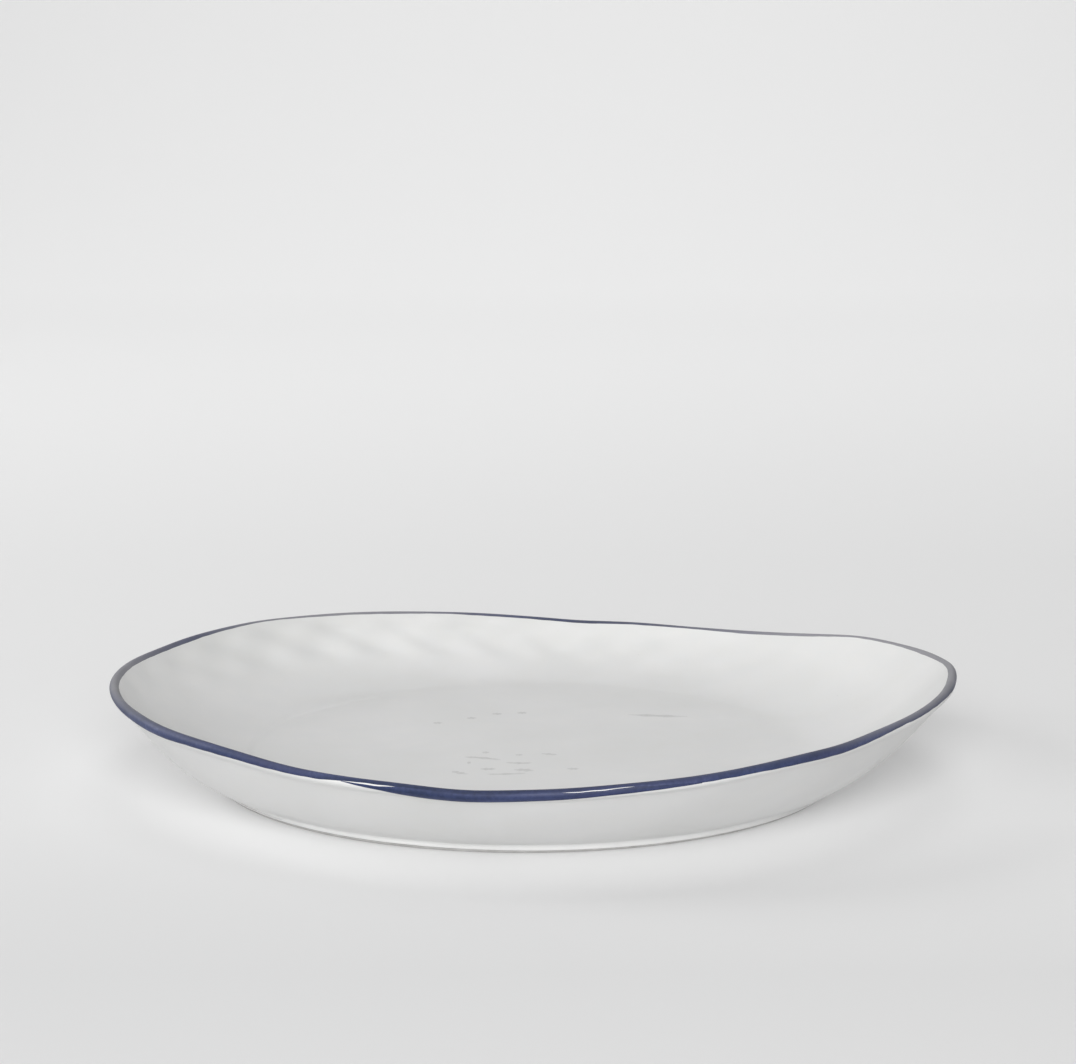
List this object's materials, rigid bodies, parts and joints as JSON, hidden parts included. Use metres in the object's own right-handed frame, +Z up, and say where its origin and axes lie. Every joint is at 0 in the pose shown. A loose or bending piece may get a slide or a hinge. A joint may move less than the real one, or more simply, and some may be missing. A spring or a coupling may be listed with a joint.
{
  "type": "serving platter",
  "caption": "Round hand-formed porcelain serving platter with a flat floor, a curved wall, a swaying lip with a dark blue painted edge, and a low foot ring.",
  "frame": {"origin": "middle of the platter's outline, on the plane that the foot ring stands on", "axes": "+Z up, out of the well; +X along the longest width, to the right of someone who looks along +Y"},
  "size_m": [0.3514, 0.3482, 0.0442],
  "materials": {
    "clay": "matte",
    "foot_clay": "matte",
    "white_glaze": "gloss",
    "cobalt_blue": "gloss"
  },
  "bodies": {
    "root": {"body": "clay", "foot_ring": "foot_clay", "inside_glaze": "white_glaze", "outside_glaze": "white_glaze", "base_glaze": "white_glaze", "rim_band": "cobalt_blue"}
  },
  "joints": []
}
